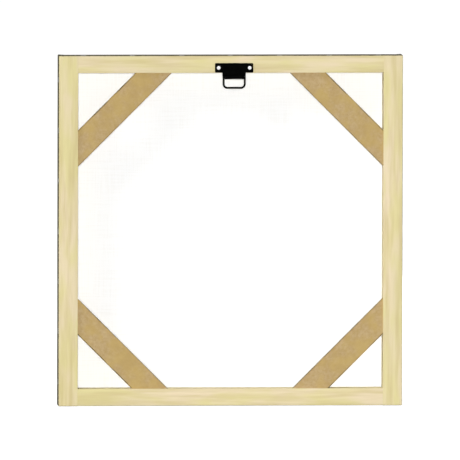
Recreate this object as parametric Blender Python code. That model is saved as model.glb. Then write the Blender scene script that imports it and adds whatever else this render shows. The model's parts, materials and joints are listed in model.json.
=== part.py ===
"""Stretched canvas, seen as it is built: four bars, four corner braces, a primed canvas
stapled to the outer edges, and a strap hanger with a swinging wire bail.

Frame: +X to the right of someone looking at the back, -Y out of the back, +Z up.
The origin is the centre of the bottom edge, midway through the depth of the bars.
All sizes below are millimetres and become metres where a mesh is made.
"""
import math

import bmesh
import bpy
from mathutils import Vector

for existing in list(bpy.data.objects):
    bpy.data.objects.remove(existing)

MM = 0.001
GAP = 0.3  # clearance between neighbouring pieces

# Bars
WOOD_WIDTH = 600.0
WOOD_HEIGHT = 610.5
DEPTH = 37.0
STILE = 33.1  # width of an upright bar
RAIL = 29.4  # width of a level bar
BEAD = 6.5  # width of the raised front edge that the canvas bears on
BEAD_ROUND = 1.5
FRONT_FALL = 3.2  # how far the front face falls away behind the canvas

# Canvas
CLOTH = 0.5
CLOTH_SHORT = 1.5  # the cloth is trimmed this far short of the back face
SKIN = CLOTH + GAP

BACK = -DEPTH / 2
FRONT = DEPTH / 2
BOTTOM = SKIN  # lowest wood; the cloth under it is the z = 0 face
TOP = BOTTOM + WOOD_HEIGHT
HALF = WOOD_WIDTH / 2

# Corner braces: where their two long edges cross the outer edges, from the outer corner
BRACE_NEAR_TOP = 163.9
BRACE_NEAR_BOTTOM = 157.9
BRACE_SPAN = 63.2  # along a bar's edge, so the strip is 44.7 wide
BRACE_THICK = 4.0
BRACE_SET_IN = 4.0  # from the back face
BRACE_ARRIS = 0.9
KERF = 10.0  # how far a brace's ends are let into the bars

# Fasteners; shanks and heads are radii
NAIL_SHANK = 1.25
NAIL_LENGTH = 60.0
NAIL_HEAD = 2.8
NAIL_HEAD_THICK = 1.0
NAIL_SUNK = 0.1
NAIL_DEPTHS = (-8.0, 8.0)
STAPLES_PER_SIDE = 7
STAPLE_CROWN = 10.0
STAPLE_WIRE = 0.5
STAPLE_WIDTH = 1.2
STAPLE_LEG = 8.0
STAPLE_DEPTH = BACK + 8.5
STAPLE_MARGIN = 42.0  # from an outer corner to the first staple

# Strap hanger on the top rail
HANGER_X = 5.3
PLATE_THICK = 1.5
EAR_SPAN = 67.0
EAR_TOP = TOP - 12.3
EAR_BOTTOM = TOP - 28.9
TONGUE_WIDTH = 40.6
NECK_WIDTH = 33.1
SHOULDER_ROUND = 3.6  # the tongue's shoulders curve round the bail's upper bends
SHOULDER_DROP = 0.35  # their centre lies this far below the bend's
KNUCKLE_BORE = 1.95
KNUCKLE_TURN = math.radians(262)
PIVOT_Z = TOP - 36.8
PLATE_FACE = BACK - GAP - PLATE_THICK
PIVOT_Y = PLATE_FACE - KNUCKLE_BORE
BAIL_WIRE = 1.65  # radius
BAIL_WIDTH = 37.0  # between leg centres
BAIL_DROP = 18.55  # pivot to the bottom run's centre
BAIL_TOP_BEND = 1.75
BAIL_LOW_BEND = 6.75
SCREW_X = 27.0
SCREW_Z = TOP - 20.6
SCREW_HEAD = 3.3
SCREW_HEAD_HEIGHT = 2.1
SCREW_SHANK = 1.75
SCREW_LENGTH = 16.0

WOOD_COLOUR = (228, 215, 169)
FIBREBOARD_COLOUR = (190, 162, 107)
CLOTH_COLOUR = (240, 238, 230)
BLACK_STEEL_COLOUR = (14, 14, 15)
ZINC_COLOUR = (205, 208, 212)
NAIL_COLOUR = (150, 150, 152)

CUTTERS = {}


def linear(channel):
    value = channel / 255
    return value / 12.92 if value <= 0.04045 else ((value + 0.055) / 1.055) ** 2.4


def material(name, colour, roughness, metallic=0.0):
    made = bpy.data.materials.new(name)
    made.use_nodes = True
    shader = made.node_tree.nodes["Principled BSDF"]
    shader.inputs["Base Color"].default_value = (*(linear(c) for c in colour), 1)
    shader.inputs["Roughness"].default_value = roughness
    shader.inputs["Metallic"].default_value = metallic
    return made


def new_object(name, bm, made_of=None, smooth=False):
    """An object in the scene from a bmesh in millimetres."""
    bmesh.ops.recalc_face_normals(bm, faces=bm.faces)
    bmesh.ops.scale(bm, verts=bm.verts, vec=(MM, MM, MM))
    mesh = bpy.data.meshes.new(name)
    bm.to_mesh(mesh)
    bm.free()
    if smooth:
        mesh.shade_smooth()
        mesh.set_sharp_from_angle(angle=math.radians(35))
    obj = bpy.data.objects.new(name, mesh)
    bpy.context.scene.collection.objects.link(obj)
    if made_of:
        mesh.materials.append(made_of)
    return obj


def place(obj, location, facing=(0, 0, 1)):
    """Puts the object's origin at location, in millimetres, with its +Z along facing."""
    obj.location = Vector(location) * MM
    obj.rotation_euler = Vector((0, 0, 1)).rotation_difference(Vector(facing)).to_euler()
    return obj


def extruded(outline, axis, start, end):
    """A prism: the outline's two coordinates are the two other axes, in X, Y, Z order."""
    bm = bmesh.new()
    others = [i for i in range(3) if i != axis]
    rings = []
    for level in (start, end):
        ring = []
        for point in outline:
            co = [0.0, 0.0, 0.0]
            co[axis] = level
            co[others[0]], co[others[1]] = point
            ring.append(bm.verts.new(co))
        rings.append(ring)
    bm.faces.new(rings[0])
    bm.faces.new(reversed(rings[1]))
    count = len(outline)
    for i in range(count):
        j = (i + 1) % count
        bm.faces.new((rings[0][i], rings[0][j], rings[1][j], rings[1][i]))
    return bm


def box(low, high):
    outline = [(low[0], low[1]), (high[0], low[1]), (high[0], high[1]), (low[0], high[1])]
    return extruded(outline, 2, low[2], high[2])


def turned(profile, sides):
    """A solid turned about Z from (radius, height) points; both ends lie on the axis."""
    bm = bmesh.new()
    bottom = bm.verts.new((0, 0, profile[0][1]))
    top = bm.verts.new((0, 0, profile[-1][1]))
    rings = []
    for radius, height in profile[1:-1]:
        turn = [2 * math.pi * i / sides for i in range(sides)]
        rings.append([bm.verts.new((radius * math.cos(a), radius * math.sin(a), height)) for a in turn])
    for i in range(sides):
        j = (i + 1) % sides
        bm.faces.new((bottom, rings[0][j], rings[0][i]))
        bm.faces.new((top, rings[-1][i], rings[-1][j]))
        for low, high in zip(rings, rings[1:]):
            bm.faces.new((low[i], low[j], high[j], high[i]))
    return bm


def arc(centre, radius, start, turn, steps):
    """Points on an arc, both ends included; angles in radians."""
    angles = [start + turn * i / steps for i in range(steps + 1)]
    return [(centre[0] + radius * math.cos(a), centre[1] + radius * math.sin(a)) for a in angles]


def cutter(obj, *targets):
    """Marks an object as a tool that cuts the named pieces."""
    obj.hide_render = True
    obj.display_type = "WIRE"
    for target in targets:
        if target not in CUTTERS:
            CUTTERS[target] = bpy.data.collections.new("cuts_" + target)
            bpy.context.scene.collection.children.link(CUTTERS[target])
        CUTTERS[target].objects.link(obj)
    bpy.context.scene.collection.objects.unlink(obj)


def boolean(obj, operation, other=None, group=None):
    step = obj.modifiers.new(operation.lower(), "BOOLEAN")
    step.operation = operation
    if group:
        step.operand_type = "COLLECTION"
        step.collection = group
    else:
        step.object = other


def apply_cuts():
    for name, group in CUTTERS.items():
        boolean(bpy.data.objects[name], "DIFFERENCE", group=group)


# Bars and braces


def bar_section(width):
    """Across the bar from its outer edge (0) to its inner edge, and through its depth."""
    bead = arc((BEAD_ROUND, FRONT - BEAD_ROUND), BEAD_ROUND, math.pi, -math.pi / 2, 4)
    hollow = [(BEAD, FRONT), (BEAD + 2.5, FRONT - FRONT_FALL * 0.7), (width, FRONT - FRONT_FALL)]
    return [(width, BACK), (0, BACK), *bead, *hollow]


def make_bars(pine):
    for side, name in ((-1, "stile_left"), (1, "stile_right")):
        outline = [(side * (HALF - u), y) for u, y in bar_section(STILE)]
        new_object(name, extruded(outline, 2, BOTTOM, TOP), pine)
    reach = HALF - STILE - GAP
    for name, outer, inward in (("rail_bottom", BOTTOM, 1), ("rail_top", TOP, -1)):
        outline = [(y, outer + inward * u) for u, y in bar_section(RAIL)]
        new_object(name, extruded(outline, 0, -reach, reach), pine)


def corners():
    """Each corner's name, the two signs that point outwards, and its brace's near edge."""
    yield "top_left", -1, 1, BRACE_NEAR_TOP
    yield "top_right", 1, 1, BRACE_NEAR_TOP
    yield "bottom_left", -1, -1, BRACE_NEAR_BOTTOM
    yield "bottom_right", 1, -1, BRACE_NEAR_BOTTOM


def stile_at(side):
    return "stile_right" if side > 0 else "stile_left"


def rail_at(up):
    return "rail_top" if up > 0 else "rail_bottom"


def from_corner(across, side, up, along):
    """A point measured inwards from an outer corner of the wood."""
    return side * (HALF - across), (TOP - along) if up > 0 else (BOTTOM + along)


def brace_outline(side, up, near, grow=0.0):
    """A strip across the corner whose ends lie inside the two bars."""
    edge_x, edge_z = STILE - KERF - grow, RAIL - KERF - grow
    near, far = near - 1.42 * grow, near + BRACE_SPAN + 1.42 * grow
    return [
        from_corner(edge_x, side, up, near - edge_x),
        from_corner(near - edge_z, side, up, edge_z),
        from_corner(far - edge_z, side, up, edge_z),
        from_corner(edge_x, side, up, far - edge_x),
    ]


def make_braces(fibreboard):
    low, high = BACK + BRACE_SET_IN, BACK + BRACE_SET_IN + BRACE_THICK
    for name, side, up, near in corners():
        strip = extruded(brace_outline(side, up, near), 1, low, high)
        brace = new_object("brace_" + name, strip, fibreboard)
        arris = brace.modifiers.new("arris", "BEVEL")
        arris.width = BRACE_ARRIS * MM
        arris.segments = 1
        kerf = extruded(brace_outline(side, up, near, GAP), 1, low - GAP, high + GAP)
        cutter(new_object("kerf_" + name, kerf), stile_at(side), rail_at(up))


# Nails and staples


def nail_profile(grow=0.0, proud=0.0):
    """Pointed at the bottom, head face at height 0."""
    shank, head = NAIL_SHANK + grow, NAIL_HEAD + grow
    tip = -NAIL_LENGTH - grow
    under_head = -NAIL_HEAD_THICK - grow
    return [
        (0, tip),
        (shank * 0.35, tip),
        (shank, tip + 3 * shank),
        (shank, under_head),
        (head, under_head),
        (head, proud),
        (0, proud),
    ]


def make_nails(metal):
    for corner, side, up, _ in corners():
        x, z = from_corner(0, side, up, RAIL / 2)
        for number, depth in enumerate(NAIL_DEPTHS, 1):
            name = f"corner_nail_{corner}_{number}"
            out = Vector((side, 0, 0))
            sunk = Vector((x, depth, z)) - NAIL_SUNK * out
            place(new_object(name, turned(nail_profile(), 10), metal, True), sunk, out)
            hole = new_object("hole_" + name, turned(nail_profile(GAP, 1.0), 10))
            cutter(place(hole, sunk, out), stile_at(side), rail_at(up))


def staple_outline(grow=0.0, proud=0.0, through=0.0):
    """The staple's U: along the edge, and outwards from the cloth's outer face (0)."""
    outer = STAPLE_CROWN / 2 + grow
    inner = STAPLE_CROWN / 2 - STAPLE_WIRE - grow
    crown = -STAPLE_WIRE - through
    tip = -STAPLE_LEG - grow
    right = [(outer, proud), (outer, tip + STAPLE_WIRE), (inner, tip), (inner, crown)]
    return right + [(-along, out) for along, out in reversed(right)]


def laid(outline, centre, along, out):
    """Turns (along, outwards) points into X and Z."""
    points = [centre + along * a + out * o for a, o in outline]
    return [(point.x, point.z) for point in points]


def make_staples(wire):
    """Driven through the cloth into the outer edge of each bar."""
    middle = (TOP + BOTTOM) / 2
    sides = (
        ("top", "rail_top", Vector((0, 0, TOP + SKIN)), Vector((0, 0, 1)), WOOD_WIDTH),
        ("bottom", "rail_bottom", Vector((0, 0, 0)), Vector((0, 0, -1)), WOOD_WIDTH),
        ("left", "stile_left", Vector((-HALF - SKIN, 0, middle)), Vector((-1, 0, 0)), WOOD_HEIGHT),
        ("right", "stile_right", Vector((HALF + SKIN, 0, middle)), Vector((1, 0, 0)), WOOD_HEIGHT),
    )
    low, high = STAPLE_DEPTH - STAPLE_WIDTH / 2, STAPLE_DEPTH + STAPLE_WIDTH / 2
    for side, bar, face, out, length in sides:
        along = Vector((abs(out.z), 0, abs(out.x)))
        step = (length - 2 * STAPLE_MARGIN) / (STAPLES_PER_SIDE - 1)
        for i in range(STAPLES_PER_SIDE):
            name = f"canvas_staple_{side}_{i + 1}"
            centre = face + along * (STAPLE_MARGIN + i * step - length / 2)
            staple = laid(staple_outline(), centre, along, out)
            new_object(name, extruded(staple, 1, low, high), wire)
            slot = laid(staple_outline(GAP, 1.0, 0.15), centre, along, out)
            cutter(new_object("slot_" + name, extruded(slot, 1, low - GAP, high + GAP)), "canvas", bar)


# Canvas


def make_canvas(cloth):
    """One sheet wrapped over the front and turned down over all four outer edges."""
    low = (-HALF - SKIN, BACK + CLOTH_SHORT, 0.0)
    high = (HALF + SKIN, FRONT + SKIN, TOP + SKIN)
    canvas = new_object("canvas", box(low, high), cloth)
    fold = canvas.modifiers.new("fold", "BEVEL")
    fold.width = 0.35 * MM
    fold.segments = 2
    inside_low = (low[0] + CLOTH, BACK - 5, low[2] + CLOTH)
    inside_high = (high[0] - CLOTH, high[1] - CLOTH, high[2] - CLOTH)
    cutter(new_object("canvas_inside", box(inside_low, inside_high)), "canvas")


# Hanger


def plate_outline():
    """Ears, tongue and neck, in X from the hanger's middle and Z."""
    ear, tongue, neck = EAR_SPAN / 2, TONGUE_WIDTH / 2, NECK_WIDTH / 2
    corner, fillet = 2.2, 1.6
    bend = (BAIL_WIDTH / 2 - BAIL_TOP_BEND, PIVOT_Z - BAIL_TOP_BEND - SHOULDER_DROP)
    start = math.acos((tongue - bend[0]) / SHOULDER_ROUND)
    end = math.acos((neck - bend[0]) / SHOULDER_ROUND)
    shoulder = arc(bend, SHOULDER_ROUND, start, end - start, 5)
    right = [
        *arc((ear - corner, EAR_TOP - corner), corner, math.pi / 2, -math.pi / 2, 4),
        *arc((ear - corner, EAR_BOTTOM + corner), corner, 0, -math.pi / 2, 4),
        *arc((tongue + fillet, EAR_BOTTOM - fillet), fillet, math.pi / 2, math.pi / 2, 4),
        *shoulder,
        (neck, PIVOT_Z),
    ]
    return [(HANGER_X + x, z) for x, z in right] + [(HANGER_X - x, z) for x, z in reversed(right)]


def curl_outline():
    """The rolled end of the strap, in Y and Z, open where it comes back to the plate."""
    pivot = (PIVOT_Y, PIVOT_Z)
    outer = arc(pivot, KNUCKLE_BORE + PLATE_THICK, 0, -KNUCKLE_TURN, 20)
    inner = arc(pivot, KNUCKLE_BORE, -KNUCKLE_TURN, KNUCKLE_TURN, 20)
    rise = PIVOT_Z + 5.0
    return [*outer, *inner, (PLATE_FACE, rise), (BACK - GAP, rise)]


def make_plate(steel):
    plate = new_object("hanger_plate", extruded(plate_outline(), 1, PLATE_FACE, BACK - GAP), steel)
    neck = NECK_WIDTH / 2
    curl = new_object("hanger_curl", extruded(curl_outline(), 0, HANGER_X - neck, HANGER_X + neck))
    curl.hide_render = True
    curl.display_type = "WIRE"
    boolean(plate, "UNION", other=curl)
    return plate


def bail_path():
    """Centreline of the closed wire loop, in X and Z from the pivot."""
    half, top, low = BAIL_WIDTH / 2, BAIL_TOP_BEND, BAIL_LOW_BEND
    return [
        *arc((half - top, -top), top, math.pi / 2, -math.pi / 2, 5),
        *arc((half - low, -BAIL_DROP + low), low, 0, -math.pi / 2, 7),
        *arc((low - half, -BAIL_DROP + low), low, -math.pi / 2, -math.pi / 2, 7),
        *arc((top - half, -top), top, math.pi, -math.pi / 2, 5),
    ]


def make_bail(steel):
    sides = 12
    path = [Vector((x, 0, z)) for x, z in bail_path()]
    bm = bmesh.new()
    rings = []
    for i, point in enumerate(path):
        ahead = (path[(i + 1) % len(path)] - point).normalized()
        behind = (point - path[i - 1]).normalized()
        tangent = (ahead + behind).normalized()
        normal = tangent.cross(Vector((0, 1, 0)))
        stretch = 1 / max(tangent.dot(ahead), 0.5)
        ring = []
        for k in range(sides):
            angle = 2 * math.pi * k / sides
            offset = normal * math.cos(angle) * stretch + Vector((0, math.sin(angle), 0))
            ring.append(bm.verts.new(point + offset * BAIL_WIRE))
        rings.append(ring)
    for i, ring in enumerate(rings):
        following = rings[(i + 1) % len(rings)]
        for k in range(sides):
            m = (k + 1) % sides
            bm.faces.new((ring[k], ring[m], following[m], following[k]))
    bail = new_object("hanger_bail", bm, steel, True)
    bail.location = Vector((HANGER_X, PIVOT_Y, PIVOT_Z)) * MM


def screw_profile(grow=0.0):
    """Pan-head screw: the head's underside at height 0, the point below it."""
    shank = SCREW_SHANK + grow
    tip = -SCREW_LENGTH - grow
    dome = [(SCREW_HEAD - 0.35, SCREW_HEAD_HEIGHT * 0.62), (SCREW_HEAD * 0.7, SCREW_HEAD_HEIGHT * 0.9)]
    head = [(SCREW_HEAD, 0), (SCREW_HEAD, SCREW_HEAD_HEIGHT * 0.3), *dome, (0, SCREW_HEAD_HEIGHT)]
    if grow:
        head = [(shank, 3.0), (0, 3.0)]
    return [(0, tip), (0.3, tip), (shank, tip + 4), (shank, 0), *head]


def make_screws(zinc):
    face = PLATE_FACE - GAP
    for side, name in ((-1, "hanger_screw_left"), (1, "hanger_screw_right")):
        at = (HANGER_X + side * SCREW_X, face, SCREW_Z)
        place(new_object(name, turned(screw_profile(), 16), zinc, True), at, (0, -1, 0))
        hole = new_object("hole_" + name, turned(screw_profile(GAP), 16))
        cutter(place(hole, at, (0, -1, 0)), "rail_top", "hanger_plate")
        for axis in (0, 2):
            blade = [0.35, 1.0, 0.35]
            blade[axis] = 1.7
            low = [at[i] - blade[i] for i in range(3)]
            high = [at[i] + blade[i] for i in range(3)]
            low[1], high[1] = face - SCREW_HEAD_HEIGHT - 1, face - SCREW_HEAD_HEIGHT + 1.1
            cutter(new_object(f"cross_{name}_{axis}", box(low, high)), name)


make_bars(material("pine", WOOD_COLOUR, 0.62))
make_braces(material("fibreboard", FIBREBOARD_COLOUR, 0.8))
make_canvas(material("primed_canvas", CLOTH_COLOUR, 0.85))
make_nails(material("nail_steel", NAIL_COLOUR, 0.35, 1.0))
make_staples(material("staple_wire", ZINC_COLOUR, 0.3, 1.0))
black_steel = material("black_steel", BLACK_STEEL_COLOUR, 0.4, 0.6)
make_plate(black_steel)
make_bail(black_steel)
make_screws(material("zinc", ZINC_COLOUR, 0.25, 1.0))
apply_cuts()
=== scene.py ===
"""The looks of the stretched canvas: eased pine bars, fibreboard braces, a woven, primed
cloth with folded corners, staples, and the black strap hanger with its bright screws.
All sizes are in metres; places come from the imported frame."""
import json
import math
import random

import bmesh
import bpy
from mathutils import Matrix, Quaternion, Vector, noise

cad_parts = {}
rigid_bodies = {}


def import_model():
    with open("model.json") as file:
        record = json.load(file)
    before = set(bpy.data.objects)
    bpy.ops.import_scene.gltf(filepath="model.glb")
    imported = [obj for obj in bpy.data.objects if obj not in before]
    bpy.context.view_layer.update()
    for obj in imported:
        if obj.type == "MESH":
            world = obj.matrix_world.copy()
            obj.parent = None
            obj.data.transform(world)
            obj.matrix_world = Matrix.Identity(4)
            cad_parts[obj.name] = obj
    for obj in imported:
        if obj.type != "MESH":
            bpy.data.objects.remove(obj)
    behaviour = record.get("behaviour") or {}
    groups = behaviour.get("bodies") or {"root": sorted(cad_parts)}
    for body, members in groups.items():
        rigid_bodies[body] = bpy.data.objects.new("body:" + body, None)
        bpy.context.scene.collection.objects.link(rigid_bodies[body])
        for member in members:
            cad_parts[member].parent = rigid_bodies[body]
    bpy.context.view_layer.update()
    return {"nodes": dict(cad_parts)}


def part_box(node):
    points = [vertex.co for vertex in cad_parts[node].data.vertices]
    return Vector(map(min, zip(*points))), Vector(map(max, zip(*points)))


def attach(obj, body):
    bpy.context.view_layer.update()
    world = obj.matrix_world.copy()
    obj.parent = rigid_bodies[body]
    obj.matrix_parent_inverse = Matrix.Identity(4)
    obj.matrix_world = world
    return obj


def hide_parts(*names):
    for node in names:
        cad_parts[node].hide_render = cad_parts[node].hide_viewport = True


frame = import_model()

MM = 0.001
rng = random.Random(7)

canvas_low, canvas_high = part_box("canvas")
stile_low, stile_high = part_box("stile_left")
rail_low, rail_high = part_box("rail_top")
plate_low, plate_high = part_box("hanger_plate")
bail_low, bail_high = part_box("hanger_bail")

BACK = stile_low.y
FRONT = stile_high.y
WOOD_TOP = stile_high.z
WOOD_BOTTOM = stile_low.z
MIDDLE_Z = (WOOD_TOP + WOOD_BOTTOM) / 2
HALF = -stile_low.x
STILE = stile_high.x - stile_low.x
RAIL = rail_high.z - rail_low.z
HANGER_X = (plate_low.x + plate_high.x) / 2


# Mesh tools


def finish_object(name, bm, materials, body="frame", smooth_angle=35):
    """An object from a bmesh, shaded smooth, riding on a body."""
    bmesh.ops.recalc_face_normals(bm, faces=bm.faces)
    mesh = bpy.data.meshes.new(name)
    bm.to_mesh(mesh)
    bm.free()
    mesh.shade_smooth()
    mesh.set_sharp_from_angle(angle=math.radians(smooth_angle))
    for material in materials:
        mesh.materials.append(material)
    obj = bpy.data.objects.new(name, mesh)
    bpy.context.scene.collection.objects.link(obj)
    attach(obj, body)
    return obj


def eased(outline, radius, steps=3):
    """The outline with every corner rounded off over radius along both of its edges."""
    made = []
    count = len(outline)
    for i, corner in enumerate(outline):
        corner = Vector(corner)
        before = Vector(outline[i - 1]) - corner
        after = Vector(outline[(i + 1) % count]) - corner
        reach = min(radius, before.length * 0.45, after.length * 0.45)
        before.normalize()
        after.normalize()
        for k in range(steps + 1):
            t = k / steps
            made.append(corner + reach * ((1 - t) ** 2 * before + t * t * after))
    return made


def arc(centre, radius, start, turn, steps):
    """Points round a centre, from the start angle through turn, both in radians."""
    angles = [start + turn * i / steps for i in range(steps + 1)]
    return [(centre[0] + radius * math.cos(a), centre[1] + radius * math.sin(a)) for a in angles]


def skin_rings(bm, rings, closed=False):
    """Joins rings of equal length with quads. closed joins the last ring to the first;
    otherwise the first and the last are capped."""
    made = [[bm.verts.new(point) for point in ring] for ring in rings]
    pairs = list(zip(made, made[1:]))
    if closed:
        pairs.append((made[-1], made[0]))
    for low, high in pairs:
        for i in range(len(low)):
            j = (i + 1) % len(low)
            bm.faces.new((low[i], low[j], high[j], high[i]))
    if not closed:
        bm.faces.new(list(reversed(made[0])))
        bm.faces.new(made[-1])


def sweep(path, section, across, closed=False):
    """Rings of a section carried along a path that lies in the plane square to across.
    A section's first coordinate is along across, the second along the path's own normal."""
    rings = []
    count = len(path)
    for i, point in enumerate(path):
        ahead = path[(i + 1) % count] - point if closed or i < count - 1 else point - path[i - 1]
        behind = point - path[i - 1] if closed or i > 0 else ahead
        ahead, behind = ahead.normalized(), behind.normalized()
        tangent = (ahead + behind).normalized()
        normal = tangent.cross(across)
        stretch = 1 / max(tangent.dot(ahead), 0.6)
        rings.append([point + across * a + normal * b * stretch for a, b in section])
    return rings


def carve(obj, tools, sharp=40):
    """Cuts the tools, each a closed bmesh, out of the object's mesh for good."""
    group = bpy.data.collections.new("tools_" + obj.name)
    bpy.context.scene.collection.children.link(group)
    for i, bm in enumerate(tools):
        bmesh.ops.recalc_face_normals(bm, faces=bm.faces)
        mesh = bpy.data.meshes.new(f"tool_{obj.name}_{i}")
        bm.to_mesh(mesh)
        bm.free()
        group.objects.link(bpy.data.objects.new(mesh.name, mesh))
    step = obj.modifiers.new("cut", "BOOLEAN")
    step.operand_type = "COLLECTION"
    step.collection = group
    bpy.context.view_layer.update()
    cut = bpy.data.meshes.new_from_object(obj.evaluated_get(bpy.context.evaluated_depsgraph_get()))
    obj.modifiers.clear()
    obj.data = cut
    for tool in list(group.objects):
        bpy.data.objects.remove(tool)
    bpy.data.collections.remove(group)
    cut.shade_smooth()
    cut.set_sharp_from_angle(angle=math.radians(sharp))


# Materials


class Material:
    """A node material: a Principled shader and short calls for the nodes that feed it."""

    def __init__(self, name, roughness=0.5, metallic=0.0, specular=0.5):
        self.made = bpy.data.materials.new(name)
        self.made.use_nodes = True
        self.tree = self.made.node_tree
        self.shader = self.tree.nodes["Principled BSDF"]
        self.shader.inputs["Roughness"].default_value = roughness
        self.shader.inputs["Metallic"].default_value = metallic
        self.shader.inputs["Specular IOR Level"].default_value = specular
        self.place = self.node("ShaderNodeTexCoord").outputs["Object"]

    def node(self, kind, inputs=None, **settings):
        made = self.tree.nodes.new(kind)
        for key, value in settings.items():
            setattr(made, key, value)
        for key, value in (inputs or {}).items():
            self.feed(made.inputs[key], value)
        return made

    def feed(self, socket, value):
        if isinstance(value, bpy.types.NodeSocket):
            self.tree.links.new(value, socket)
        else:
            socket.default_value = value

    def stretched(self, scale, offset=(0, 0, 0), place=None):
        inputs = {"Vector": place or self.place, "Scale": scale, "Location": offset}
        return self.node("ShaderNodeMapping", inputs).outputs[0]

    def noise(self, scale, place=None, detail=3.0, rough=0.55):
        inputs = {"Vector": place or self.place, "Scale": scale, "Detail": detail, "Roughness": rough}
        return self.node("ShaderNodeTexNoise", inputs).outputs[0]

    def math(self, operation, a, b=0.0, c=0.0):
        return self.node("ShaderNodeMath", {0: a, 1: b, 2: c}, operation=operation).outputs[0]

    def span(self, value, low, high, to_low=0.0, to_high=1.0):
        inputs = {0: value, 1: low, 2: high, 3: to_low, 4: to_high}
        return self.node("ShaderNodeMapRange", inputs).outputs[0]

    def mix(self, factor, a, b):
        inputs = {0: factor, 6: a, 7: b}
        return self.node("ShaderNodeMix", inputs, data_type="RGBA").outputs[2]

    def bump(self, height, distance, strength):
        inputs = {"Height": height, "Distance": distance, "Strength": strength}
        self.feed(self.shader.inputs["Normal"], self.node("ShaderNodeBump", inputs).outputs[0])

    def colour(self, value):
        self.feed(self.shader.inputs["Base Color"], value)

    def roughness(self, value):
        self.feed(self.shader.inputs["Roughness"], value)


def tone(red, green, blue):
    """Linear colour from the 0 to 255 values that a screen shows."""
    channels = [c / 255 for c in (red, green, blue)]
    return (*(c / 12.92 if c <= 0.04045 else ((c + 0.055) / 1.055) ** 2.4 for c in channels), 1.0)


def make_pine(name, along, offset):
    """Planed pine with its grain along one axis: faint irregular bands of late wood, a
    drift between yellow and pink, fine fibres. offset picks another part of the tree."""
    wood = Material(name, specular=0.1)

    def grain(length, shift=0.0):
        squeeze = [1.0, 1.0, 1.0]
        squeeze[along] = length
        return wood.stretched(squeeze, (offset + shift, offset * 1.7, shift - offset))

    bands = wood.noise(95.0, grain(0.075), 3.0, 0.6)
    hue = wood.noise(42.0, grain(0.30, 2.0), 2.0, 0.5)
    wide = wood.noise(20.0, grain(0.12, 5.0), 1.0)
    fibres = wood.noise(620.0, grain(0.03, 3.0), 4.0, 0.65)
    pores = wood.noise(300.0, grain(0.02, 7.0), 2.0)
    early = wood.mix(wood.span(hue, 0.38, 0.62), PINE_YELLOW, PINE_PINK)
    early = wood.mix(wood.span(wide, 0.35, 0.70, 0.0, 0.5), early, PINE_GREEN)
    banded = wood.mix(wood.span(bands, 0.42, 0.70, 0.0, 0.72), early, PINE_LATE)
    streaked = wood.mix(wood.span(pores, 0.62, 0.80, 0.0, 0.30), banded, PINE_STREAK)
    wood.colour(wood.mix(wood.span(fibres, 0.40, 0.75, 0.0, 0.16), streaked, PINE_STREAK))
    wood.roughness(wood.span(fibres, 0.3, 0.7, 0.58, 0.74))
    wood.bump(wood.math("MULTIPLY_ADD", bands, 0.4, fibres), PINE_BUMP, 0.5)
    return wood.made


def make_fibreboard(name, base, speck, bump):
    """Pressed fibres: fine specks and soft mottling. bump is the height of the fibres."""
    board = Material(name, specular=0.12)
    fine = board.noise(1100.0, detail=3.0, rough=0.7)
    coarse = board.noise(190.0, detail=4.0, rough=0.7)
    wide = board.noise(48.0, detail=3.0)
    gold = board.noise(30.0, board.stretched((1, 1, 1), (4.0, 1.0, 2.0)), detail=2.0)
    flecks = board.math("MULTIPLY_ADD", coarse, 0.6, board.math("MULTIPLY", fine, 0.5))
    flecked = board.mix(board.span(flecks, 0.42, 0.70), base, speck)
    gilded = board.mix(board.span(gold, 0.42, 0.62, 0.0, 0.75), flecked, BOARD_GOLD)
    board.colour(board.mix(board.span(wide, 0.42, 0.70, 0.0, 0.45), gilded, speck))
    board.roughness(board.span(fine, 0.3, 0.7, 0.72, 0.88))
    board.bump(board.math("ADD", fine, coarse), bump, 0.7)
    return board.made


def make_cloth(name, front, side, weave, gap_shade):
    """Plain weave: two sets of threads in the cloth's own flat coordinates, with slubs.
    The colour goes from the front's to a painted shade on the sides as the cloth turns down
    past the front face, and the spaces between threads are darkened with painted shade. weave is
    the bump's height, and the last argument is how strongly that painted shade between threads shows."""
    cloth = Material(name, specular=0.0)
    flat = cloth.node("ShaderNodeUVMap", uv_map="flat").outputs[0]
    parts = cloth.node("ShaderNodeSeparateXYZ", {0: flat})
    wander = cloth.noise(60.0, flat, 2.0)
    turns = 2 * math.pi / THREAD
    warp = cloth.math("SINE", cloth.math("MULTIPLY_ADD", parts.outputs[0], turns, wander))
    weft = cloth.math("SINE", cloth.math("MULTIPLY_ADD", parts.outputs[1], turns, wander))
    over = cloth.math("MULTIPLY_ADD", cloth.math("MULTIPLY", warp, weft), 0.5, 0.5)
    slub_u = cloth.noise(420.0, cloth.stretched((1.0, 0.04, 1.0), place=flat), 2.0)
    slub_v = cloth.noise(420.0, cloth.stretched((0.04, 1.0, 1.0), place=flat), 2.0)
    slubs = cloth.math("ADD", slub_u, slub_v)
    height = cloth.math("MULTIPLY_ADD", slubs, 0.8, over)
    # painted shade: the outer face darkens to the side colour as the cloth turns down past the front
    # face
    depth = cloth.node("ShaderNodeSeparateXYZ", {0: cloth.place}).outputs[1]
    down = cloth.span(depth, canvas_high.y - SIDE_SHADE_TO, canvas_high.y - SIDE_SHADE_FROM, 1.0, 0.0)
    base = cloth.mix(down, front, side)
    # painted shade: where the weave is low, in the spaces between threads, the colour darkens
    threads = cloth.mix(cloth.span(over, 0.0, 0.6, gap_shade, 0.0), base, SLUB_TONE_AND_GAP_SHADE)
    cloth.colour(cloth.mix(cloth.span(slubs, 0.95, 1.25, 0.0, 0.10), threads, SLUB_TONE_AND_GAP_SHADE))
    cloth.roughness(cloth.span(slubs, 0.8, 1.2, 0.78, 0.92))
    cloth.bump(height, weave, 0.8)
    return cloth.made


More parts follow.
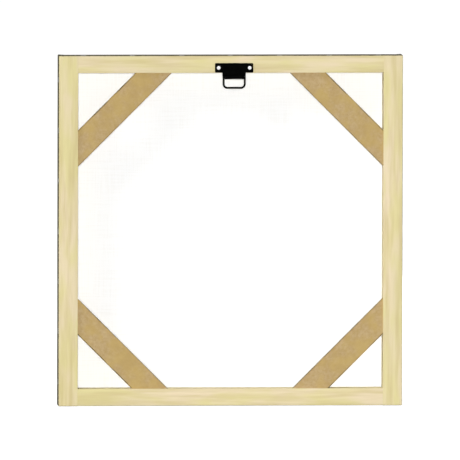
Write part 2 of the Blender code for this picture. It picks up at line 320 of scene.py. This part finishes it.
def make_black_steel(name):
    """Black paint with a fine orange peel and a little dust."""
    steel = Material(name, specular=0.02)
    peel = steel.noise(900.0, detail=2.0)
    dust = steel.noise(150.0, detail=3.0)
    steel.colour(steel.mix(steel.span(dust, 0.45, 0.75), BLACK_PAINT, BLACK_DUSTY))
    steel.roughness(steel.span(dust, 0.3, 0.7, 0.40, 0.55))
    steel.bump(peel, PAINT_BUMP, 0.5)
    return steel.made


def make_bright_steel(name, light, dark, low, high):
    """Plated wire, nails and screws: metal with faint drawn marks and dull patches. low and
    high are its roughness where it is bright and where it is dull."""
    steel = Material(name, metallic=1.0)
    marks = steel.noise(1500.0, detail=2.0)
    dull = steel.noise(400.0, detail=3.0)
    steel.colour(steel.mix(steel.span(dull, 0.4, 0.7), light, dark))
    steel.roughness(steel.span(dull, 0.3, 0.7, low, high))
    steel.bump(marks, DRAWN_BUMP, 0.4)
    return steel.made


PINE_YELLOW = (0.670, 0.598, 0.310, 1.0)
PINE_PINK = (0.725, 0.612, 0.428, 1.0)
PINE_GREEN = (0.590, 0.545, 0.262, 1.0)
PINE_LATE = (0.545, 0.452, 0.228, 1.0)
PINE_STREAK = (0.520, 0.435, 0.232, 1.0)
BOARD_FACE = (0.488, 0.366, 0.206, 1.0)
BOARD_GOLD = (0.455, 0.325, 0.118, 1.0)
BOARD_SPECK = (0.380, 0.262, 0.108, 1.0)
# the braces' dark edges: the board's cut-edge tone together with painted shade along the arrises
BOARD_EDGE = (0.175, 0.128, 0.058, 1.0)
BOARD_EDGE_SPECK = (0.130, 0.090, 0.036, 1.0)
CLOTH_WHITE = (0.86, 0.85, 0.80, 1.0)
# painted shade: the primed cloth's sides are coloured dark to stand for the shade they lie in
PAINTED_SIDE_SHADE = (0.150, 0.138, 0.090, 1.0)
CLOTH_BACK = (0.975, 0.975, 0.972, 1.0)
# darker tone of thick slubs, and painted shade in the spaces between threads
SLUB_TONE_AND_GAP_SHADE = (0.62, 0.59, 0.50, 1.0)
THREAD = 1.1 * MM  # two threads of the plain weave
SIDE_SHADE_FROM, SIDE_SHADE_TO = 1.2 * MM, 3.0 * MM  # depths where the front's colour turns to the painted shade of the sides
FRONT_WEAVE, BACK_WEAVE = 0.16 * MM, 0.28 * MM  # heights of bumps
PINE_BUMP, BOARD_BUMP, SAWN_BUMP = 0.10 * MM, 0.08 * MM, 0.35 * MM
PAINT_BUMP, DRAWN_BUMP = 0.03 * MM, 0.01 * MM
BLACK_PAINT, BLACK_DUSTY = tone(1, 1, 1), tone(6, 6, 5)
ZINC_LIGHT, ZINC_DULL = tone(253, 253, 254), tone(241, 242, 244)
WIRE_LIGHT, WIRE_DULL = tone(222, 223, 226), tone(190, 192, 196)
NAIL_LIGHT, NAIL_DULL = tone(176, 176, 178), tone(140, 140, 142)

pine = {
    "stile_left": make_pine("pine_stile_left", 2, 0.3),
    "stile_right": make_pine("pine_stile_right", 2, 1.9),
    "rail_top": make_pine("pine_rail_top", 0, 3.1),
    "rail_bottom": make_pine("pine_rail_bottom", 0, 12.4),
}
board_face = make_fibreboard("fibreboard_face", BOARD_FACE, BOARD_SPECK, BOARD_BUMP)
board_edge = make_fibreboard("fibreboard_dark_edge", BOARD_EDGE, BOARD_EDGE_SPECK, SAWN_BUMP)
cloth_front = make_cloth("primed_cloth_painted_side_shade", CLOTH_WHITE, PAINTED_SIDE_SHADE, FRONT_WEAVE, 0.10)
cloth_back = make_cloth("raw_cloth_back", CLOTH_BACK, CLOTH_BACK, BACK_WEAVE, 0.03)
black_steel = make_black_steel("black_steel")
zinc = make_bright_steel("zinc_plate", ZINC_LIGHT, ZINC_DULL, 0.30, 0.42)
staple_wire = make_bright_steel("staple_wire", WIRE_LIGHT, WIRE_DULL, 0.28, 0.4)
nail_steel = make_bright_steel("nail_steel", NAIL_LIGHT, NAIL_DULL, 0.35, 0.5)


# Braces

BRACE_SPAN = 63.2 * MM  # along a bar
BRACE_ARRIS = 0.9 * MM
FLAT_COSINE = 0.97  # tells a strip's two faces from its eased edges
BRACE_DARK_RIM = 1.2 * MM  # the faces are dark this far in from their edges: the board's cut-edge tone with painted shade along the arrises
KERF_GAP = 0.12 * MM  # round a strip's end in its bar
BRACES = sorted(node for node in frame["nodes"] if node.startswith("brace_"))


def brace_solid(name, grow=0.0):
    """A strip of board across a corner, its ends let into the bars."""
    low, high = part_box(name)
    side = 1 if low.x > 0 else -1
    up = 1 if low.z > MIDDLE_Z else -1
    reach = high.x - low.x
    near, far = reach - BRACE_SPAN + (2 - math.sqrt(2)) * grow, reach + (2 + math.sqrt(2)) * grow
    end_x = (high.x if side > 0 else low.x) + side * grow
    end_z = (high.z if up > 0 else low.z) + up * grow
    rings = []
    for depth in (low.y - grow, high.y + grow):
        offsets = [(0, near), (near, 0), (far, 0), (0, far)]
        rings.append([(end_x - side * u, depth, end_z - up * v) for u, v in offsets])
    bm = bmesh.new()
    skin_rings(bm, rings)
    return bm


def make_brace(name):
    """A strip with eased edges; its eased edges and a rim of its two faces are dark, the board's
    cut-edge tone together with painted shade along the arrises.
    """
    bm = brace_solid(name)
    bmesh.ops.bevel(bm, geom=list(bm.edges), offset=BRACE_ARRIS, segments=3, profile=0.6, affect="EDGES")
    bm.normal_update()
    faces = [face for face in bm.faces if abs(face.normal.y) > FLAT_COSINE]
    bmesh.ops.inset_region(bm, faces=faces, thickness=BRACE_DARK_RIM, use_even_offset=True)
    for face in bm.faces:
        face.material_index = 0 if face in faces else 1
    brace = finish_object(name + "_strip", bm, [board_face, board_edge], smooth_angle=50)
    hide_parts(name)


# Bars

BEAD = 6.5 * MM  # the raised lip that carries the cloth at the front
BEAD_ROUND = 1.5 * MM
BEAD_SLOPE = 2.5 * MM
FRONT_FALL = 3.2 * MM  # from the lip down to the inner edge
ARRIS = 0.4 * MM  # how far a planed edge is eased
END_EASE = 0.15 * MM
SAW_WAVE = 0.06 * MM
BUTT_GAP = 0.03 * MM  # where a level bar meets an upright
BAR_STEPS = 40  # rings along a bar


def bar_section(width):
    """Across the bar from its outer edge (0) to its inner edge, and through its depth."""
    corners = [
        (width, BACK),
        (0, BACK),
        (0, FRONT - BEAD_ROUND),
        (BEAD_ROUND, FRONT),
        (BEAD, FRONT),
        (BEAD + BEAD_SLOPE, FRONT - FRONT_FALL * 0.7),
        (width, FRONT - FRONT_FALL),
    ]
    return eased(corners, ARRIS)


def make_bar(name, to_place, start, end, width):
    """A bar swept along its length; its ends are eased, and the saw left it faintly wavy."""
    section = bar_section(width)
    middle = sum(section, Vector((0, 0))) / len(section)
    length = end - start
    stops = [(0.0, END_EASE), (END_EASE, 0.0)]
    stops += [(length * i / BAR_STEPS, 0.0) for i in range(1, BAR_STEPS)]
    stops += [(length - END_EASE, 0.0), (length, END_EASE)]
    rings = []
    for stop, inset in stops:
        wave = SAW_WAVE * noise.noise(Vector((stop * 23, width * 90, 0.5)))
        ring = []
        for corner in section:
            outward = corner - middle
            across, depth = middle + outward * (1 - inset / outward.length)
            inner_face = across > width / 2
            ring.append(to_place(across + wave * inner_face, depth, start + stop))
        rings.append(ring)
    bm = bmesh.new()
    skin_rings(bm, rings)
    bar = finish_object(name + "_bar", bm, [pine[name]])
    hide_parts(name)
    carve(bar, [brace_solid(brace, KERF_GAP) for brace in BRACES], 35)
    return bar


def make_bars():
    """The uprights run through; the level bars butt against them."""
    bars = []
    for name, side in (("stile_left", -1), ("stile_right", 1)):
        def upright(across, depth, at, side=side):
            return side * (HALF - across), depth, at
        bars.append(make_bar(name, upright, WOOD_BOTTOM, WOOD_TOP, STILE))
    reach = HALF - STILE - BUTT_GAP
    for name, outer, inward in (("rail_bottom", WOOD_BOTTOM, 1), ("rail_top", WOOD_TOP, -1)):
        def level(across, depth, at, outer=outer, inward=inward):
            return at, depth, outer + inward * across
        bars.append(make_bar(name, level, -reach, reach, RAIL))
    return bars


# Cloth

CLOTH = 0.5 * MM
EDGE_ROUND = 1.2 * MM
CELL = 9.0 * MM  # of its grid
CLOTH_INSET = 0.15 * MM  # from the sides of the solid that it stands for
OUTER_X = canvas_high.x - CLOTH_INSET
OUTER_TOP = canvas_high.z - CLOTH_INSET
OUTER_BOTTOM = canvas_low.z + CLOTH_INSET
RIPPLE = 0.10 * MM
RIPPLES_ALONG, RIPPLES_THROUGH = 11, 25  # in a metre
SLACK = 0.7 * MM  # how far the middle of the front hangs back
SLACK_START = 12.0 * MM  # from the outer edge
SLACK_RUN = 100.0 * MM
DIMPLE = 0.28 * MM  # depth at a staple
DIMPLE_RADIUS = 8.0 * MM
DIMPLE_REACH = 30.0 * MM
FRAY = 0.35 * MM  # how uneven the raw edge is
FRAYS = 160  # in a metre
FOLD = 33.0 * MM  # length of a corner's fold along the back edge
FOLD_INSET = 0.9 * MM  # from the side of the canvas
FOLD_SHORT = 0.3 * MM  # of the raw back edge
FOLD_GAP = 0.1 * MM
FOLD_RISE = 0.60 * MM  # how far it stands off the cloth under it, at the back
FOLD_FALL = 0.10 * MM  # how much less at the front
FOLD_BULGE = 0.08 * MM
FOLD_ROWS, FOLD_COLUMNS = 14, 12
staple_spots = []  # where the staples dent the cloth, filled in as they are made


def lines(low, high, both=True):
    """Grid lines from low to high, crowded where the cloth turns an edge."""
    turn = [EDGE_ROUND * f for f in (0.0, 0.15, 0.4, 0.7, 1.0, 2.0)]
    start = [low + t for t in turn] if both else [low]
    end = [high - t for t in reversed(turn)]
    count = max(2, round((end[0] - start[-1]) / CELL))
    middle = [start[-1] + (end[0] - start[-1]) * i / count for i in range(1, count)]
    return start + middle + end


def round_off(point):
    """Moves a point of the box's surface on to the same box with rounded edges."""
    x_in = OUTER_X - EDGE_ROUND
    core = Vector((
        max(-x_in, min(x_in, point.x)),
        min(canvas_high.y - EDGE_ROUND, point.y),
        max(OUTER_BOTTOM + EDGE_ROUND, min(OUTER_TOP - EDGE_ROUND, point.z)),
    ))
    away = point - core
    return core + away.normalized() * EDGE_ROUND if away.length > 1e-9 else point


def relief(point, normal_axis):
    """How far the stretched cloth stands off the true box: slack, pull lines and dimples."""
    along, through = RIPPLES_ALONG, RIPPLES_THROUGH
    ripple = RIPPLE * noise.noise(Vector((point.x * along, point.y * through, point.z * along)))
    if normal_axis == 1:
        edge = min(OUTER_X - abs(point.x), OUTER_TOP - point.z, point.z - OUTER_BOTTOM)
        belly = min(1.0, max(0.0, (edge - SLACK_START) / SLACK_RUN))
        return ripple * 1.5 - SLACK * belly * belly * (3 - 2 * belly)
    dent = 0.0
    for spot in staple_spots:
        gap = (point - spot).length
        if gap < DIMPLE_REACH:
            dent += DIMPLE * math.exp(-((gap / DIMPLE_RADIUS) ** 2))
    return ripple - dent


def make_canvas():
    """Front and four sides of the wrapped cloth as one sheet, then the folded corners."""
    bm = bmesh.new()
    flat = bm.loops.layers.uv.new("flat")
    xs, zs = lines(-OUTER_X, OUTER_X), lines(OUTER_BOTTOM, OUTER_TOP)
    back = canvas_low.y
    ys = lines(back, canvas_high.y, both=False)
    shared = {}

    def vertex(x, y, z, axis):
        key = (round(x, 7), round(y, 7), round(z, 7))
        if key not in shared:
            point = Vector((x, y, z))
            away = Vector((0, 0, 0))
            away[axis] = -1 if (x, 1, z - MIDDLE_Z)[axis] < 0 else 1
            moved = round_off(point) + away * relief(point, axis)
            if abs(y - back) < 1e-7:
                moved.y += FRAY * noise.noise(Vector((x * FRAYS, 3.1, z * FRAYS)))
            shared[key] = bm.verts.new(moved)
        return shared[key]

    def patch(us, vs, corner_at, flat_at, axis):
        for u0, u1 in zip(us, us[1:]):
            for v0, v1 in zip(vs, vs[1:]):
                around = ((u0, v0), (u1, v0), (u1, v1), (u0, v1))
                face = bm.faces.new([vertex(*corner_at(u, v), axis) for u, v in around])
                for loop, (u, v) in zip(face.loops, around):
                    loop[flat].uv = flat_at(u, v)

    front = canvas_high.y
    patch(xs, zs, lambda u, v: (u, front, v), lambda u, v: (u, v), 1)
    for side in (-1, 1):
        edge = side * OUTER_X
        patch(ys, zs, lambda u, v: (edge, u, v), lambda u, v: (edge + side * (front - u), v), 0)
    for edge, out in ((OUTER_TOP, 1), (OUTER_BOTTOM, -1)):
        patch(xs, ys, lambda u, v: (u, v, edge), lambda u, v: (u, edge + out * (front - v)), 2)
        for side in (-1, 1):
            add_fold(bm, flat, side, edge, out)
    sides = [cloth_front, cloth_back]
    cloth = finish_object("canvas_cloth", bm, sides, smooth_angle=60)
    thick = cloth.modifiers.new("thickness", "SOLIDIFY")
    thick.thickness = CLOTH
    thick.offset = -1.0
    thick.material_offset = 1
    thick.use_even_offset = True
    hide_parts("canvas")


def add_fold(bm, flat, side, edge, out):
    """The spare cloth of a corner, folded flat on the top or bottom as a triangle whose
    slanting edge runs from the front corner to the back edge."""
    back, front = canvas_low.y + FOLD_SHORT, canvas_high.y - EDGE_ROUND
    grid = []
    for i in range(FOLD_ROWS + 1):
        t = i / FOLD_ROWS
        depth = back + (front - back) * t
        width = FOLD * (1 - t) ** 0.92
        row = []
        for k in range(FOLD_COLUMNS + 1):
            s = (k / FOLD_COLUMNS) ** 0.8
            lip = 1 - max(0.0, (s - 0.8) / 0.2) ** 2.5
            root = min(1.0, s / 0.08)
            rise = FOLD_GAP + (FOLD_RISE - FOLD_FALL * t) * lip * (0.55 + 0.45 * root)
            rise += FOLD_BULGE * noise.noise(Vector((s * 4, t * 5, side + out)))
            x = side * (OUTER_X - FOLD_INSET - width * s)
            row.append(bm.verts.new((x, depth, edge + out * rise)))
        grid.append(row)
    for low, high in zip(grid, grid[1:]):
        for k in range(FOLD_COLUMNS):
            face = bm.faces.new((low[k], low[k + 1], high[k + 1], high[k]))
            for loop in face.loops:
                loop[flat].uv = (loop.vert.co.x, loop.vert.co.y)


# Staples

WIRE_WIDE = 1.2 * MM
WIRE_THICK = 0.5 * MM
WIRE_EDGE = 0.18 * MM
BEND = 0.75 * MM
CROWN_RISE = 0.12 * MM  # past the outer face of the solid that it stands for
LEG_SHORT = 0.4 * MM  # of that solid's legs
STAPLE_TILT = 0.09  # radians either way
STAPLE_SLIDE = 0.8 * MM
OUTWARD = {
    "top": Vector((0, 0, 1)),
    "bottom": Vector((0, 0, -1)),
    "left": Vector((-1, 0, 0)),
    "right": Vector((1, 0, 0)),
}


def make_staple(name):
    """A staple pressed into the cloth, its legs in the wood, a little askew."""
    low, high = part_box(name)
    size = high - low
    out = OUTWARD[name.split("_")[2]]
    along = Vector((0, 1, 0)).cross(out)
    half = abs(size.dot(along)) / 2 - WIRE_THICK / 2
    leg = abs(size.dot(out))
    face = (low + high) / 2 + out * (leg / 2)
    tilt = rng.uniform(-STAPLE_TILT, STAPLE_TILT)
    slide = rng.uniform(-STAPLE_SLIDE, STAPLE_SLIDE)
    crown = CROWN_RISE - WIRE_THICK / 2
    right = arc((half - BEND, crown - BEND), BEND, math.pi / 2, -math.pi / 2, 5)
    right.append((half, LEG_SHORT - leg))
    points = [(-a, b) for a, b in reversed(right)] + right
    askew = along * math.cos(tilt) + Vector((0, 1, 0)) * math.sin(tilt)
    path = [face + askew * (a + slide) + out * b for a, b in points]
    wide, thick = WIRE_WIDE / 2, WIRE_THICK / 2
    section = eased([(-wide, -thick), (wide, -thick), (wide, thick), (-wide, thick)], WIRE_EDGE)
    bm = bmesh.new()
    skin_rings(bm, sweep(path, section, out.cross(askew)))
    staple = finish_object(name + "_wire", bm, [staple_wire], smooth_angle=40)
    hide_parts(name)
    return face + askew * slide


# Hanger

EAR_DROP = 16.6 * MM
EAR_CORNER = 2.2 * MM
EAR_FILLET = 1.6 * MM
TONGUE = 40.6 * MM  # its width, below the ears
NECK = 33.1 * MM  # its width, where it rolls round the bail
SHOULDER_ROUND = 3.6 * MM
SHOULDER_DROP = 0.35 * MM
PLATE = 1.5 * MM
BORE = 1.95 * MM  # inside the roll that holds the bail
CURL = math.radians(262)
CURL_STEPS = 28
BAIL_WIRE = (bail_high.y - bail_low.y) / 2
BAIL_TOP_BEND = 1.75 * MM
BAIL_LOW_BEND = 6.75 * MM
BAIL_HALF = (bail_high.x - bail_low.x) / 2 - BAIL_WIRE
PIVOT_Z = bail_high.z - BAIL_WIRE
PIVOT_Y = (bail_high.y + bail_low.y) / 2
STEEL_EDGE = 0.3 * MM
SCREW_HOLE = 2.05 * MM


def plate_outline():
    """Ears, tongue and neck as X from the hanger's middle, and Z. The tongue's shoulders
    curve round the bail's upper bends."""
    ear, tongue, neck = (plate_high.x - plate_low.x) / 2, TONGUE / 2, NECK / 2
    top, bottom = plate_high.z, plate_high.z - EAR_DROP
    corner, fillet = EAR_CORNER, EAR_FILLET
    bend = (BAIL_HALF - BAIL_TOP_BEND, PIVOT_Z - BAIL_TOP_BEND - SHOULDER_DROP)
    start = math.acos((tongue - bend[0]) / SHOULDER_ROUND)
    end = math.acos((neck - bend[0]) / SHOULDER_ROUND)
    right = [
        *arc((ear - corner, top - corner), corner, math.pi / 2, -math.pi / 2, 8),
        *arc((ear - corner, bottom + corner), corner, 0, -math.pi / 2, 8),
        *arc((tongue + fillet, bottom - fillet), fillet, math.pi / 2, math.pi / 2, 8),
        *arc(bend, SHOULDER_ROUND, start, end - start, 10),
        (neck, PIVOT_Z),
    ]
    return right + [(-x, z) for x, z in reversed(right)]


def make_plate(screws):
    """One stamped strap: flat ears and tongue, its neck rolled round the bail, as a
    single surface given its thickness and softened edges."""
    bm = bmesh.new()
    face_y = plate_high.y - PLATE  # the side away from the bar
    outer = [bm.verts.new((HANGER_X + x, face_y, z)) for x, z in plate_outline()]
    edges = [bm.edges.new((a, b)) for a, b in zip(outer, outer[1:] + outer[:1])]
    neck_edge = next(e for e in edges if all(abs(v.co.z - PIVOT_Z) < 1e-6 for v in e.verts))
    for screw in screws:
        hole = arc((screw.x, screw.z), SCREW_HOLE, 0, 2 * math.pi, 24)[:-1]
        rim = [bm.verts.new((x, face_y, z)) for x, z in hole]
        edges += [bm.edges.new((a, b)) for a, b in zip(rim, rim[1:] + rim[:1])]
    bmesh.ops.triangle_fill(bm, use_beauty=True, use_dissolve=False, edges=edges)
    right, left = sorted(neck_edge.verts, key=lambda v: -v.co.x)
    for i in range(1, CURL_STEPS + 1):
        angle = -CURL * i / CURL_STEPS
        y = PIVOT_Y + BORE * math.cos(angle)
        z = PIVOT_Z + BORE * math.sin(angle)
        new_right, new_left = (bm.verts.new((v.co.x, y, z)) for v in (right, left))
        bm.faces.new((right, left, new_left, new_right))
        right, left = new_right, new_left
    bmesh.ops.recalc_face_normals(bm, faces=bm.faces)
    flat = max(bm.faces, key=lambda f: f.calc_area())
    if flat.normal.y > 0:
        bmesh.ops.reverse_faces(bm, faces=bm.faces)
    mesh = bpy.data.meshes.new("hanger_strap")
    bm.to_mesh(mesh)
    bm.free()
    strap = bpy.data.objects.new("hanger_strap", mesh)
    bpy.context.scene.collection.objects.link(strap)
    mesh.materials.append(black_steel)
    mesh.shade_smooth()
    thick = strap.modifiers.new("thickness", "SOLIDIFY")
    thick.thickness = PLATE
    thick.offset = -1.0
    thick.use_even_offset = True
    edge = strap.modifiers.new("edge", "BEVEL")
    edge.width = STEEL_EDGE
    edge.segments = 3
    edge.limit_method = "ANGLE"
    edge.angle_limit = math.radians(50)
    edge.harden_normals = True
    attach(strap, "frame")
    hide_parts("hanger_plate")


def make_bail():
    """The wire loop, closed, with tight upper bends and round lower corners."""
    drop = bail_high.z - bail_low.z - 2 * BAIL_WIRE
    half, top, low = BAIL_HALF, BAIL_TOP_BEND, BAIL_LOW_BEND
    loop = [
        *arc((half - top, -top), top, math.pi / 2, -math.pi / 2, 10),
        *arc((half - low, low - drop), low, 0, -math.pi / 2, 16),
        *arc((low - half, low - drop), low, -math.pi / 2, -math.pi / 2, 16),
        *arc((top - half, -top), top, math.pi, -math.pi / 2, 10),
    ]
    middle = Vector(((bail_low.x + bail_high.x) / 2, PIVOT_Y, PIVOT_Z))
    path = [middle + Vector((x, 0, z)) for x, z in loop]
    section = arc((0, 0), BAIL_WIRE, 0, 2 * math.pi, 24)[:-1]
    bm = bmesh.new()
    skin_rings(bm, sweep(path, section, Vector((0, 1, 0)), closed=True), closed=True)
    bail = finish_object("bail_wire", bm, [black_steel], "bail", 60)
    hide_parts("hanger_bail")


SCREW_RISE = 2.1 * MM  # the height of its head
SHANK = 1.75 * MM
CORE = 1.2 * MM
PITCH = 1.5 * MM
POINT = 3.2 * MM
THREAD_START, THREAD_FULL = 1.0 * MM, 2.0 * MM  # below the head
TURN = 32  # points round a screw
HEAD_RINGS, SHANK_RINGS = 10, 110
BLADE_MOUTH = (-0.5 * MM, 2.0 * MM, 0.42 * MM)  # depth in the head, half length, half width
BLADE_FLOOR = (1.35 * MM, 0.7 * MM, 0.25 * MM)


def screw_profile(head, length):
    """Rings of (radius, depth) pairs, one pair for each point round the screw."""
    rings = []
    for i in range(HEAD_RINGS + 1):
        angle = math.pi / 2 * (0.04 + 0.96 * i / HEAD_RINGS)
        radius = head * math.sin(angle) ** 0.8
        rings.append([(radius, SCREW_RISE * (1 - math.cos(angle) ** 0.6))] * TURN)
    rings.append([(SHANK, SCREW_RISE)] * TURN)
    for i in range(SHANK_RINGS + 1):
        down = length * i / SHANK_RINGS
        taper = min(1.0, max(0.06, (length - down) / POINT))
        ring = []
        for a in range(TURN):
            turns = (down / PITCH - a / TURN) % 1
            ridge = max(0.0, 1 - abs(turns - 0.5) * 4.5) * min(1.0, down / THREAD_FULL)
            radius = SHANK if down < THREAD_START else CORE + (SHANK - CORE) * ridge
            ring.append((radius * taper, SCREW_RISE + down))
        rings.append(ring)
    return rings


def cross_recess(centre, spin):
    """Two tapered blades that cut the cross into a screw's head."""
    tools = []
    for angle in (spin, spin + math.pi / 2):
        ahead = Vector((math.cos(angle), 0, math.sin(angle)))
        aside = Vector((-math.sin(angle), 0, math.cos(angle)))
        rings = []
        for depth, reach, wide in (BLADE_MOUTH, BLADE_FLOOR):
            at = centre + Vector((0, depth, 0))
            signs = ((1, 1), (-1, 1), (-1, -1), (1, -1))
            rings.append([at + ahead * reach * s + aside * wide * t for s, t in signs])
        blade = bmesh.new()
        skin_rings(blade, rings)
        tools.append(blade)
    return tools


def make_screw(name):
    """Pan-head wood screw with a cross recess and a rolled thread."""
    low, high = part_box(name)
    centre = Vector(((low.x + high.x) / 2, low.y, (low.z + high.z) / 2))
    rings = screw_profile((high.x - low.x) / 2, high.y - low.y - SCREW_RISE)
    around = [2 * math.pi * a / TURN for a in range(TURN)]
    bm = bmesh.new()
    skin_rings(bm, [
        [centre + Vector((r * math.cos(a), d, r * math.sin(a))) for (r, d), a in zip(ring, around)]
        for ring in rings
    ])
    screw = finish_object(name + "_turned", bm, [zinc], smooth_angle=40)
    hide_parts(name)
    carve(screw, cross_recess(centre, rng.uniform(0, math.pi / 2)))
    return centre


# The object

bars = make_bars()
for brace_node in BRACES:
    make_brace(brace_node)
for node in sorted(frame["nodes"]):
    if node.startswith("canvas_staple"):
        staple_spots.append(make_staple(node))
    if node.startswith("corner_nail"):
        nail = frame["nodes"][node].data
        nail.materials.clear()
        nail.materials.append(nail_steel)
make_canvas()
screw_places = [make_screw("hanger_screw_left"), make_screw("hanger_screw_right")]
make_plate(screw_places)
make_bail()


# Floor, light and camera

FLOOR_HALF = 4.0
FLOOR_GAP = 0.2 * MM  # under the canvas
FLOOR_GREY = (0.3, 0.3, 0.3, 1.0)
FLOOR_GLOW = 0.95  # so that the floor photographs white
WORLD_SEEN = 1.05  # its strength to the camera
WORLD_GLOSS = 1.30  # in reflections
WORLD_LIGHT = 0.11  # as light
DISTANCE = 36.0
VIEW_WIDTH = 0.8020  # how wide a stretch the picture takes in
VIEW_YAW = math.radians(4.0)
VIEW_PITCH = math.radians(3.8)
VIEW_ROLL = math.radians(0.13)
VIEW_SHIFT = (-0.0012, 0.0014)
AWAY = Vector((
    -math.sin(VIEW_YAW) * math.cos(VIEW_PITCH),
    -math.cos(VIEW_YAW) * math.cos(VIEW_PITCH),
    math.sin(VIEW_PITCH),
))
MIDDLE = Vector((0, 0, MIDDLE_Z))
KEY_PLACE = MIDDLE + AWAY * 5
RAKING_PLACE = MIDDLE + Vector((-3.4, -1.5, 3.4))  # for the bars' inner sides


def make_light(name, kind, place, energy, glossy, **settings):
    """A light at place that looks at the middle of the canvas."""
    lamp = bpy.data.lights.new(name, kind)
    lamp.energy = energy
    for key, value in settings.items():
        setattr(lamp, key, value)
    made = bpy.data.objects.new(name, lamp)
    bpy.context.scene.collection.objects.link(made)
    made.location = place
    made.rotation_euler = (MIDDLE - place).to_track_quat("-Z", "Y").to_euler()
    made.visible_glossy = glossy
    made.visible_camera = False


def make_floor():
    """A pale floor that photographs white."""
    bm = bmesh.new()
    bmesh.ops.create_grid(bm, x_segments=1, y_segments=1, size=FLOOR_HALF)
    mesh = bpy.data.meshes.new("floor")
    bm.to_mesh(mesh)
    bm.free()
    floor = bpy.data.objects.new("floor", mesh)
    floor.location.z = canvas_low.z - FLOOR_GAP
    bpy.context.scene.collection.objects.link(floor)
    pale = Material("pale_floor", roughness=0.9, specular=0.0)
    pale.colour(FLOOR_GREY)
    rays = pale.node("ShaderNodeLightPath").outputs
    seen = pale.math("MAXIMUM", rays["Is Camera Ray"], rays["Is Glossy Ray"])
    strength = pale.math("MULTIPLY", seen, FLOOR_GLOW)
    glow = pale.node("ShaderNodeEmission", {"Color": (1, 1, 1, 1), "Strength": strength})
    both = pale.node("ShaderNodeAddShader", {0: pale.shader.outputs[0], 1: glow.outputs[0]})
    pale.feed(pale.tree.nodes["Material Output"].inputs["Surface"], both.outputs[0])
    mesh.materials.append(pale.made)


def make_world():
    """Even white surroundings: bright to the camera and in reflections, a faint fill light."""
    world = bpy.data.worlds.new("studio")
    bpy.context.scene.world = world
    world.use_nodes = True
    tree = world.node_tree
    back = tree.nodes["Background"]
    back.inputs["Color"].default_value = (1, 1, 1, 1)
    path = tree.nodes.new("ShaderNodeLightPath")
    strength = WORLD_LIGHT
    for rays, level in (("Is Camera Ray", WORLD_SEEN), ("Is Glossy Ray", WORLD_GLOSS)):
        step = tree.nodes.new("ShaderNodeMath")
        step.operation = "MULTIPLY_ADD"
        tree.links.new(path.outputs[rays], step.inputs[0])
        step.inputs[1].default_value = level - WORLD_LIGHT
        if isinstance(strength, float):
            step.inputs[2].default_value = strength
        else:
            tree.links.new(strength, step.inputs[2])
        strength = step.outputs[0]
    tree.links.new(strength, back.inputs["Strength"])


def make_camera():
    """A very long lens, a little up and to the left of square on to the back."""
    data = bpy.data.cameras.new("camera")
    data.sensor_width = 36.0
    data.lens = data.sensor_width * DISTANCE / VIEW_WIDTH
    data.clip_end = 2 * DISTANCE
    camera = bpy.data.objects.new("camera", data)
    bpy.context.scene.collection.objects.link(camera)
    aim = Vector((VIEW_SHIFT[0], BACK, MIDDLE_Z + VIEW_SHIFT[1]))
    camera.location = aim + AWAY * DISTANCE
    facing = (-AWAY).to_track_quat("-Z", "Y")
    camera.rotation_euler = (facing @ Quaternion((0, 0, 1), VIEW_ROLL)).to_euler()
    bpy.context.scene.camera = camera


bpy.context.scene.view_settings.view_transform = "Standard"
make_floor()
make_world()
make_light("key", "SUN", KEY_PLACE, energy=2.96, glossy=False, angle=math.radians(5))
make_light("raking", "SUN", RAKING_PLACE, energy=1.30, glossy=False, angle=math.radians(14))
make_light("front", "AREA", Vector((1.5, 2.9, 0.7)), energy=70.0, glossy=True, size=1.6)
make_light("side", "AREA", Vector((2.6, 1.4, 1.0)), energy=40.0, glossy=True, size=1.0)
make_camera()
